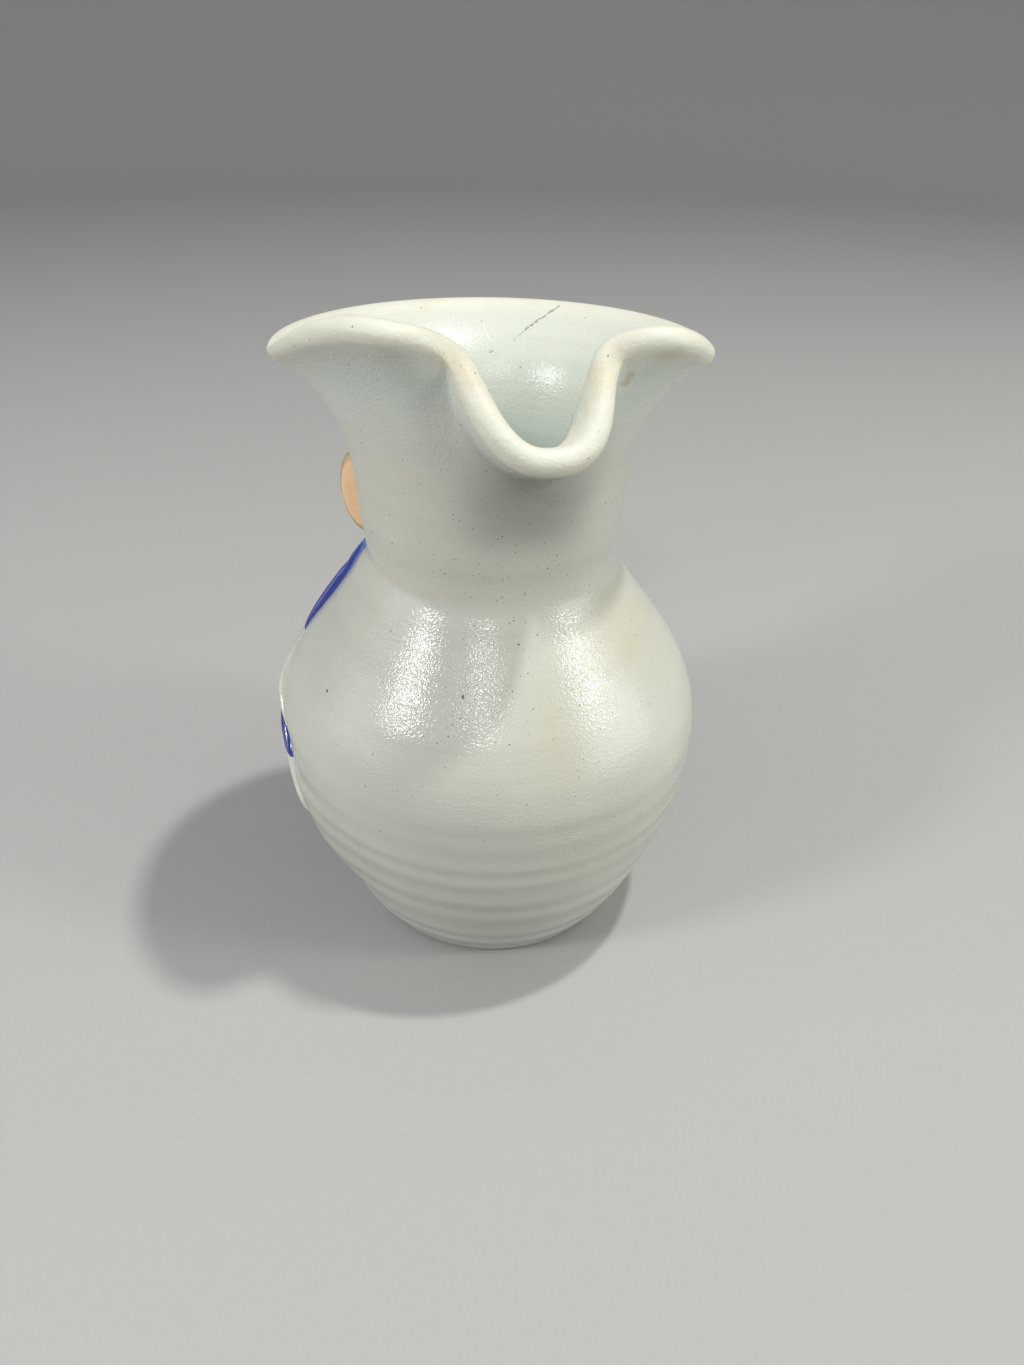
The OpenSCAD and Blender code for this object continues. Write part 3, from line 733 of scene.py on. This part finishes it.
def thrown_jug():
    rows = []
    labels = ("lip", "inside", "deep", "tan", "bleed", "foot", "iron", "shade", "pale")
    marks = {label: [] for label in labels}

    def row(points, **values):
        rows.append(points)
        for label in labels:
            marks[label].append(np.zeros(COLS) + values.get(label, 0.0))

    b = bearing
    u = 180 - np.abs(b)
    ones = np.ones(COLS)
    flat = np.stack([dsin(b), -dcos(b), 0 * b], -1)
    front = bell(b, -8, 42)

    # Foot and belly
    for r, z in FOOT_ROWS:
        row(turned(r, z, b), foot=1.0)
    for z in np.arange(1.0, NECK_Z - 0.3, ROW_STEP):
        r = belly_at(z) + finger_rings(z, b) + thumb_dent(z, u) + smoothed_clay(z, u)
        tan = 0.9 * bell(b, 46, 24) * bell(z, 90, 9) + 0.8 * bell(b, 4, 9) * bell(z, 76, 11)
        bleed = near_blue(u, z) if z < 100.8 else 0.0
        bare = smooth((1.5 + 0.3 * wave(np.radians(b) * 3, 1) - z) / 0.6)
        row(turned(r, z, b), tan=tan, bleed=bleed, foot=bare,
            iron=front * smooth((z - 44) / 34), pale=0.9 * smooth((30 - z) / 26))

    # Outside of the neck, eased where it meets the belly
    crease = len(rows)
    up = np.concatenate([np.linspace(0.0, 0.8, 58), np.linspace(0.815, 1, 18)])
    for s in up:
        p = neck_skin(s * ones, b, 0 * ones)
        p = p + finger_rings(p[:, 2], b)[:, None] * flat * (1 - s)
        p = round_fold(p, b, smooth((s - 0.35) / 0.3))
        tan = 0.3 * bell(b, -60, 40) * smooth((0.8 - s) / 0.3)
        tan = tan + 0.8 * bell(b, -5, 15) * bell(s, 0.48, 0.17)
        # Painted shadow: the neck is painted greyer under the spout, where the lip's overhang shades it
        shade = np.exp(-(b / 26) ** 4) * smooth((s - 0.15) / 0.3) * smooth((0.98 - s) / 0.15)
        # Paler up the flare, partly as painted light on its downward face, and not where the painted
        # shadow lies
        row(p, lip=0.75 * smooth((s - LIP_EDGE) / LIP_SPAN), tan=tan, shade=shade,
            pale=smooth((s - 0.55) / 0.4) * (1 - shade), iron=front * smooth((0.75 - s) / 0.3))
    soften(rows, crease - 18, crease + 18, 8)

    # Over the lip, then down the inside to the floor
    for a in np.linspace(12, 168, 14):
        points = round_fold(lip_roll(a, b), b, smooth((100 - a) / 90))
        row(points, lip=0.75 + 0.25 * dsin(a), inside=smooth(a / 180))
    # The lip's cream runs down the inside of the spout, partly as painted light on its shaded wall
    spout = np.exp(-(b / 34) ** 4)
    band = 0.76 + 0.17 * smooth((b - 6) / 14)
    # Down the inside the glaze turns greener, and lighter as painted light, the deeper it goes
    for s in up[::-1]:
        lip = np.maximum(0.8 * smooth((s - LIP_EDGE) / LIP_SPAN), spout * smooth((s - band) / 0.08))
        row(neck_inside(s * ones, b), lip=lip, inside=1.0, deep=smooth((0.95 - s) / 0.75))
    tangent = unit(np.gradient(belly_line, axis=0))
    inner = belly_line - BELLY_WALL * np.stack([tangent[:, 1], -tangent[:, 0]], -1)
    keep = (inner[:, 1] > FLOOR_T + 1.5) & (inner[:, 1] < NECK_Z - 2.2)
    inner = inner[keep][::-1]
    for r, z in inner[::10]:
        row(turned(r + 0.5 * finger_rings(np.float64(z), b), z, b), inside=1.0, deep=1.0)
    for share, height in FLOOR_ROWS:
        row(turned(inner[-1, 0] * share, FLOOR_T + height, b), inside=1.0, deep=1.0)
    return loft("thrown_jug", rows, marks)


finish_piece(thrown_jug(), ["thrown_belly", "neck_and_spout"], BODY)


def spaced(count):
    # Places across a strip from -1 to 1, closer together at its edges
    return np.sin(np.linspace(-90, 90, count) * np.pi / 180)


def grooves(w, middles, width):
    return sum(np.exp(-((w - c) / width) ** 2) for c in middles)


# Rounded section of an applied strip, from its foot pressed into the wall over its crown
def strip_rows(place, line, half, high, comb=0):
    rings, edges = [], []
    round_end = 0.12
    w = spaced(15)
    crown = (1 - w * w * 0.999) ** 0.5
    foot = np.linspace(1, -1, 5)
    for t in np.linspace(0, 1, 40):
        near = min(t, 1 - t) / round_end
        end = math.sqrt(max(0.02, 1 - max(0.0, 1 - near) ** 2))
        p = np.array(line(t))
        d = np.array(line(t + 0.01)) - np.array(line(t - 0.01))
        combed = grooves(w, [c - 0.05 * wave(t * 6, c) for c in np.linspace(-0.6, 0.6, comb)], 0.11)
        h = EDGE_T / 2 * crown ** 0.5 + (high(t) * end - EDGE_T / 2) * crown - 0.28 * combed * crown * end
        top = place(p, d, w * half(t) * end, h)
        under = place(p, d, foot * half(t) * end * 0.96, 0 * foot - PRESS)
        rings.append(np.concatenate([top, under]))
        edges.append(np.concatenate([np.maximum(np.abs(w) ** 6, 1 - end), np.ones(len(foot))]))
    return rings, {"edge": edges}


def along_mask(p, d, w, n):
    d = d / np.linalg.norm(d)
    return on_mask(p[0] + d[1] * w, p[1] - d[0] * w, n)


def along_neck(p, d, w, n):
    r = jug_r(p[1])
    g = np.array([d[0] * r / PER_RADIAN, d[1]])
    g = g / np.linalg.norm(g)
    return on_neck(p[0] + g[1] * w / r * PER_RADIAN, p[1] - g[0] * w, n)


def lock_span(a, b):
    return math.hypot((a[0] - b[0]) * belly_at(mix(a[1], b[1], 0.5)) / PER_RADIAN, a[1] - b[1])


# Locks are numbered from the highest to the lowest, and the last is in the middle. What single locks
# have of their own: thickness of the tip, start of its rounding, a squarer crown, a scoop along the
# upper side, and where a white lock starts to run out into the wall
LOCK_COUNT = 10
LOCK_TIP_T = {0: 3.0, 1: 4.2, 2: 2.3, 4: 0.9, 6: 0.9, 8: 0.9}
LOCK_ROUND = {0: 0.93}
LOCK_CROWN = {0: 0.25}
LOCK_SCOOP = {1: 0.8, 3: 2.0}
LOCK_FEATHER = {3: 0.88}


def lock_rows(k, white):
    rings, edges, merges, bleeds = [], [], [], []
    w = spaced(25)
    sides = 1 - w * w * 0.999
    foot_w = np.linspace(0.48, -0.48, 7)
    under_edge = np.ones(len(foot_w))
    middle_start = mix(fan_edge(k, 0), fan_edge(k + 1, 0), 0.5)
    middle_end = mix(fan_edge(k, 1), fan_edge(k + 1, 1), 0.5)
    run = 1 + WHITE_PAST / lock_span(middle_start, middle_end) if white else 1.0
    thick = WHITE_T if white else BLUE_T
    tip_thick = LOCK_TIP_T.get(k, WHITE_T)
    round_from = LOCK_ROUND.get(k, 0.86)
    scoop = LOCK_SCOOP.get(k, 0.0)
    feather = LOCK_FEATHER.get(k, 0.76)
    combed = np.linspace(-0.45, 0.45, 2 if white else 1)
    ends = 0.8 + 0.2 * np.sin(np.linspace(5, 89, 20) * np.pi / 180)
    for q in np.concatenate([np.linspace(0, 0.8, 46), ends]):
        a, b = fan_edge(k, q * run), fan_edge(k + 1, q * run)
        end = math.sqrt(max(0.004, 1 - max(0.0, (q - round_from) / (1 - round_from)) ** 2))
        left = 1 - smooth((q - feather) / (1 - feather)) if white else 1.0
        crown = sides ** (mix(1.6, 0.9, left) if white else LOCK_CROWN.get(k, 0.6))
        full = (1 - LOCK_GAP / lock_span(a, b)) * (1.0 if white else end)
        high = (0.5 + 0.5 * smooth(q * 1.1)) * mix(thick, tip_thick, smooth(q * 1.6 - 0.5))
        groove = grooves(w, [c - 0.07 * wave(q * 5, k + c) for c in combed], 0.10)
        h = EDGE_T * crown ** 0.4 + (high - EDGE_T) * crown
        h = h - 0.34 * groove * crown * end * smooth(q * 5) + 0.10 * wave(q * 4 + w, k)
        h = h - scoop * smooth((0.75 - w) / 1.1) * smooth((q - 0.35) / 0.2) * crown
        h = h * left - 0.4 * (1 - left) if white else h * (0.45 + 0.55 * end)
        top = mix(a, b, 0.5 + w[:, None] / 2 * full)
        foot = mix(a, b, 0.5 + foot_w[:, None] * full)
        under = on_belly(foot[:, 0], foot[:, 1], 0 * foot_w - PRESS)
        rings.append(np.concatenate([on_belly(top[:, 0], top[:, 1], h), under]))
        early = 1 - smooth((q - 0.5) / 0.25)
        rim = np.abs(w) ** 8 * early if white else np.maximum(np.abs(w) ** 8, (1 - end) * 0.7)
        edges.append(np.concatenate([rim, under_edge]))
        merges.append(np.zeros(len(w) + len(foot_w)) + 1 - left)
        bleeds.append(np.concatenate([smooth((np.abs(w) - 0.9) / 0.1), under_edge]) * early)
    marks = {"edge": edges, "merge": merges, "bleed": bleeds} if white else {"edge": edges}
    return rings, marks


for k in range(LOCK_COUNT):
    white = k % 2 == 1
    slot, material = ("white_glaze", WHITE) if white else ("cobalt_glaze", BLUE)
    if k < LOCK_COUNT - 1:
        both_sides("beard_{}_" + str(k + 1), *lock_rows(k, white), slot, material)
    else:
        single("beard_centre", *lock_rows(k, white), slot, material)


# Mask, pressed on the neck, with a soft edge
def mask_rows():
    rings, edges = [], []
    w = spaced(45)
    back_w = np.linspace(1, -1, 17)
    for z in np.concatenate([[JAW_Z], np.linspace(JAW_Z + 0.25, MASK_TOP - 0.25, 60), [MASK_TOP]]):
        half = mask_half(np.float64(z))
        soft = 0.6 if z in (JAW_Z, MASK_TOP) else 0.0
        turn = np.degrees(np.arcsin(min(0.98, half / jug_r(z))))
        x = w * half * 0.995
        back = on_jug(np.linspace(turn, -turn, len(back_w)), 0 * back_w + z, 0 * back_w - PRESS)
        rings.append(np.concatenate([on_mask(x, z, -soft), back]))
        rim = np.maximum(np.abs(x / half) ** 14, smooth((z - MASK_TOP + 2) / 2))
        rim = np.maximum(rim, smooth((JAW_Z + 1.4 - z) / 1.4))
        edges.append(np.concatenate([rim, np.ones(len(back_w))]))
    return rings, {"edge": edges}


single("face_mask", *mask_rows(), "skin_glaze", SKIN)


# Nose, with rounded wings and a tucked underside; half width and height at shares of its length
NOSE_HALF = ((0, 0.082), (0.3, 0.1), (0.6, 0.145), (0.8, 0.205), (0.9, 0.214), (1, 0.136))
NOSE_HIGH = ((0, 0.1), (0.3, 0.36), (0.6, 0.72), (0.8, 1), (0.9, 0.92), (1, 0.3))


def nose_rows():
    rings, edges = [], []
    w = np.linspace(-1, 1, 25)
    foot_w = np.linspace(0.96, -0.96, 5)
    for t in np.concatenate([np.linspace(0, 0.9, 40), np.linspace(0.915, 1, 10)]):
        z = NOSE_Z + (1 - t) * THIRD * 0.94
        half = FACE_HALF * from_table(NOSE_HALF, t)
        high = NOSE_OUT * from_table(NOSE_HIGH, t)
        wing = smooth((t - 0.62) / 0.2)
        crown = (1 - np.abs(w) ** mix(2.2, 1.7, wing)) ** 0.75
        fold = 0.45 * wing * bell(np.abs(w), 0.66, 0.12)
        bulge = 0.55 * wing * bell(np.abs(w), 0.84, 0.1)
        h = EDGE_T / 2 + (high - EDGE_T / 2) * crown - fold + bulge
        top = on_mask(w * half, z, np.where(np.abs(w) > 0.999, 0, h))
        under = on_mask(foot_w * half, z, 0 * foot_w - PRESS)
        rings.append(np.concatenate([top, under]))
        rim = 0.5 * np.abs(w) ** 8 + 0.6 * smooth((t - 0.94) / 0.06)
        edges.append(np.concatenate([rim, np.ones(len(foot_w))]))
    return rings, {"edge": edges}


single("nose", *nose_rows(), "skin_glaze", SKIN)


# Eyes: almond pellets with a painted iris; rings as share of the size and height over the mask
EYE_ROWS = ((0.4, -PRESS), (1, -PRESS), (1, 0.5), (0.97, 0.85), (0.9, 1.25), (0.8, 1.6),
            (0.7, 1.85), (0.55, 2.1), (0.4, 2.25), (0.25, 2.32), (0.12, 2.35))
IRIS_R = 1.9
EYE_RISE = EYE_W * 0.26


def eye_rows():
    rings, iris = [], []
    angle = np.linspace(0, 360, 48, endpoint=False)
    for k, n in EYE_ROWS:
        x = EYE_W + k * EYE_W / 2 * dcos(angle)
        z = EYE_Z + k * EYE_RISE * dsin(angle)
        rings.append(on_mask(x, z, n))
        iris.append(np.hypot(x - EYE_W, z - EYE_Z) / IRIS_R)
    return rings, {"iris": iris}


both_sides("eyeball_{}", *eye_rows(), "eye_glaze", EYE)


def lid_line(up):
    def line(t):
        a = mix(172, 8, t) if up else mix(196, 344, t)
        gap = 0.3 + EYE_W * (0.09 if up else 0.07)
        return EYE_W + (EYE_W / 2 + gap * 0.7) * dcos(a), EYE_Z + (EYE_RISE + gap) * dsin(a)
    return line


def strip_pair(name, slot, material, place, line, half, high, comb=0):
    both_sides(name + "_{}", *strip_rows(place, line, half, high, comb), slot, material)


def arch(t, start, span):
    # Rises and falls along a strip, over a span of degrees
    return dsin(start + span * t)


def brow_line(t):
    return FACE_HALF * mix(0.164, 0.75, t), BROW_Z + THIRD * (0.084 + 0.116 * dsin(150 * t) - 0.042 * t)


def moustache_line(t):
    drop = 0.142 - 0.047 * dsin(180 * t) + 0.242 * t * t
    return FACE_HALF * mix(0.041, 0.75, t), NOSE_Z - THIRD * drop


HAIR_CURVE = [(FACE_HALF * 0.032, MASK_TOP - THIRD * 0.158), (FACE_HALF * 0.455, MASK_TOP - THIRD * 0.126),
              (FACE_HALF * 0.818, BROW_Z + THIRD * 0.579), (FACE_HALF * 0.855, BROW_Z + THIRD * 0.079)]


def hair_line(t):
    return cubic(HAIR_CURVE, t)


def burn_line(t):
    z = mix(BROW_Z - THIRD * 0.079, NECK_Z + THIRD * 0.105, t)
    edge = np.degrees(np.arcsin(mask_half(np.float64(z)) / jug_r(z)))
    return mix(edge, EAR_AT - EAR_T / jug_r(z) * PER_RADIAN * 0.6, 0.52), z


strip_pair("upper_lid", "skin_glaze", SKIN, along_mask, lid_line(True),
           half=lambda t: EYE_W * (0.088 - 0.025 * abs(2 * t - 1)),
           high=lambda t: EYE_W * (0.30 - 0.10 * abs(2 * t - 1)))
strip_pair("lower_lid", "skin_glaze", SKIN, along_mask, lid_line(False),
           half=lambda t: EYE_W * (0.066 - 0.015 * abs(2 * t - 1)),
           high=lambda t: EYE_W * (0.2 - 0.08 * abs(2 * t - 1)))
strip_pair("brow", "cobalt_glaze", BLUE, along_mask, brow_line,
           half=lambda t: THIRD * (0.032 + 0.037 * arch(t, 20, 140)),
           high=lambda t: THIRD * 0.047 * (1 + arch(t, 20, 140)), comb=2)
strip_pair("moustache", "white_glaze", WHITE, along_mask, moustache_line,
           half=lambda t: THIRD * (0.026 + 0.074 * arch(t, 15, 155)),
           high=lambda t: THIRD * (0.053 + 0.09 * arch(t, 20, 150)), comb=3)
strip_pair("hair", "white_glaze", WHITE, along_mask, hair_line,
           half=lambda t: THIRD * (0.068 + 0.063 * arch(t, 10, 150)),
           high=lambda t: THIRD * 0.063 * (1 + arch(t, 10, 150)), comb=3)
strip_pair("sideburn", "cobalt_glaze", BLUE, along_neck, burn_line,
           half=lambda t: THIRD * (0.042 + 0.058 * arch(t, 10, 150)),
           high=lambda t: THIRD * 0.047 * (1 + arch(t, 20, 140)), comb=1)


# Lips: short strips across the mask, with a dip in the middle of the upper one
def lip_strip(name, reach, rise, half, high):
    def line(t):
        return FACE_HALF * mix(-reach, reach, t), MOUTH_Z + THIRD * rise(t)
    rows, marks = strip_rows(along_mask, line, lambda t: THIRD * half(t), lambda t: THIRD * high(t))
    single(name, rows, marks, "skin_glaze", LIPS)


lip_strip("upper_lip", 0.295,
          rise=lambda t: 0.04 + 0.026 * arch(t, 0, 180) - 0.018 * bell(t, 0.5, 0.06),
          half=lambda t: 0.019 + 0.014 * arch(t, 0, 180),
          high=lambda t: 0.037 * (1 + arch(t, 0, 180)))
lip_strip("lower_lip", 0.255,
          rise=lambda t: -0.053 - 0.026 * arch(t, 0, 180),
          half=lambda t: 0.022 + 0.027 * arch(t, 0, 180),
          high=lambda t: 0.042 + 0.047 * arch(t, 0, 180))


# Ears: cupped plates with a rolled edge. Each slice has its size, its place in the thickness, the
# lift of its root and its olive rim
EAR_SLICES = np.array([
    [0.12, -0.06, 0.34, 0], [0.3, -0.04, 0.3, 0], [0.55, -0.1, 0.18, 0], [0.72, -0.42, 0.03, 0],
    [0.8, -0.5, -0.02, 0.05], [0.9, -0.48, -0.05, 0.35], [0.97, -0.25, -0.06, 1], [1, 0, -0.06, 1],
    [0.97, 0.28, -0.06, 1], [0.88, 0.42, -0.05, 1], [0.74, 0.47, -0.04, 0.15],
    [0.56, 0.5, -0.03, 0], [0.3, 0.51, -0.02, 0], [0.1, 0.51, -0.02, 0]])


def ear_rows():
    rings, edges = [], []
    count = len(EAR_SLICES)
    a = np.linspace(-90, 90, 30)
    rise = np.maximum(0, dcos(a)) ** 0.5 * (1 + 0.06 * dsin(a))
    back = np.linspace(1, -1, 12)[1:-1]
    for t in np.linspace(0, count - 1, 53):
        k, e, lift, olive = [np.interp(t, range(count), EAR_SLICES[:, c]) for c in range(4)]
        root = EAR_OUT * lift
        z = EAR_MID + k * EAR_H / 2 * dsin(a) * (1 - 0.08 * dcos(a))
        z = np.concatenate([z, EAR_MID + k * EAR_H / 2 * back])
        n = root + (EAR_OUT * (0.5 + 0.5 * k) - root) * rise
        n = np.concatenate([n, 0 * back + root])
        turn = EAR_AT + e * EAR_T / jug_r(EAR_MID) * PER_RADIAN
        rings.append(on_neck(turn, z, n))
        edges.append(0 * z + olive)
    return rings, {"edge": edges}


both_sides("ear_{}", *ear_rows(), "skin_glaze", SKIN)


# Camera, as the photo was taken: above the spout and a little to its left
TURN, PITCH, ROLL = math.radians(15.5), math.radians(32.43), math.radians(0.71)
viewpoint = Vector((-0.05396, -0.21417, 0.2039))
look = Vector((math.sin(TURN) * math.cos(PITCH), math.cos(TURN) * math.cos(PITCH), -math.sin(PITCH)))
camera = bpy.data.objects.new("camera", bpy.data.cameras.new("camera"))
facing = look.to_track_quat("-Z", "Y").to_matrix() @ Matrix.Rotation(ROLL, 3, "Z")
camera.matrix_world = Matrix.Translation(viewpoint) @ facing.to_4x4()
camera.data.sensor_fit = "VERTICAL"
camera.data.sensor_height = 36.0
camera.data.lens = 27.03
camera.data.clip_start = 0.01
bpy.context.scene.collection.objects.link(camera)
bpy.context.scene.camera = camera


# Pale paper floor that sweeps up all round, seen paler than the light it throws back on the jug
def sweep():
    path = [(r, 0.0) for r in (0.02, 0.1, 0.2, 0.35, 0.6, 0.9, 1.2, 1.5)]
    path += [(1.5 + 0.9 * math.sin(a), 0.9 - 0.9 * math.cos(a)) for a in np.linspace(0.1, math.pi / 2, 14)]
    path += [(2.4, 1.4), (2.4, 2.6)]
    turns = np.linspace(0, 2 * math.pi, 72, endpoint=False)
    points = [(r * math.cos(a), r * math.sin(a), z) for r, z in path for a in turns] + [(0, 0, 0)]
    n = len(turns)
    faces = [(n * len(path), j, (j + 1) % n) for j in range(n)]
    for i in range(len(path) - 1):
        for j in range(n):
            k = (j + 1) % n
            faces.append((i * n + j, (i + 1) * n + j, (i + 1) * n + k, i * n + k))
    mesh = bpy.data.meshes.new("paper_sweep")
    mesh.from_pydata(points, [], faces)
    mesh.shade_smooth()
    floor = bpy.data.objects.new("paper_sweep", mesh)
    bpy.context.scene.collection.objects.link(floor)
    material = bpy.data.materials.new("pale_paper")
    material.use_nodes = True
    tree = material.node_tree
    fibre = cloud(tree, where(tree), 900.0, 3.0)
    seen = blend(tree, fibre, (0.43, 0.425, 0.415, 1), (0.47, 0.465, 0.455, 1))
    bounce = blend(tree, fibre, (0.22, 0.215, 0.205, 1), (0.26, 0.255, 0.245, 1))
    rays = put(tree, "LightPath").outputs
    direct = calc(tree, "MAXIMUM", rays["Is Camera Ray"], rays["Is Glossy Ray"])
    direct = calc(tree, "MAXIMUM", direct, rays["Is Transmission Ray"])
    colour = blend(tree, direct, bounce, seen)
    shader = tree.nodes["Principled BSDF"]
    tree.links.new(colour, shader.inputs["Base Color"])
    shader.inputs["Roughness"].default_value = 0.9
    mesh.materials.append(material)


sweep()


# Studio lamps: windows for the highlights, broad soft lamps at the sides and a small one overhead.
# Bearings are from the camera's side of the jug, to the right; sizes are in metres
LAMP_AIM = Vector((0, 0, 0.08))


def lamp(name, bearing_deg, elevation, distance, width, height, watts, colour=(1, 1, 1)):
    light = bpy.data.lights.new(name, "AREA")
    light.shape = "RECTANGLE"
    light.size = width
    light.size_y = height
    light.energy = watts
    light.color = colour
    lamp_object = bpy.data.objects.new(name, light)
    a = math.radians(bearing_deg) - TURN
    e = math.radians(elevation)
    place = Vector((math.sin(a) * math.cos(e), -math.cos(a) * math.cos(e), math.sin(e))) * distance
    lamp_object.location = place + LAMP_AIM
    lamp_object.rotation_euler = (-place).to_track_quat("-Z", "Y").to_euler()
    bpy.context.scene.collection.objects.link(lamp_object)


lamp("left_window", -56, 30, 1.0, 0.18, 0.11, 3.4)
lamp("right_window", 70, 29, 1.0, 0.16, 0.08, 2.1, (1.0, 0.97, 0.92))
lamp("left_soft", -74, 6, 1.3, 0.9, 0.9, 4.5, (0.97, 1.0, 0.97))
lamp("right_soft", 74, 6, 1.3, 0.9, 0.9, 7.6, (0.95, 1.0, 0.95))
lamp("ceiling", 90, 73, 1.5, 0.07, 0.07, 10.8, (1.0, 0.98, 0.94))
lamp("front_window", -5, 38, 1.4, 0.11, 0.06, 2.3)

world = bpy.data.worlds.new("studio")
world.use_nodes = True
sky = world.node_tree.nodes["Background"]
sky.inputs["Color"].default_value = (0.9, 0.95, 1.0, 1)
sky.inputs["Strength"].default_value = 0.55
bpy.context.scene.world = world
bpy.context.scene.view_settings.view_transform = "Standard"
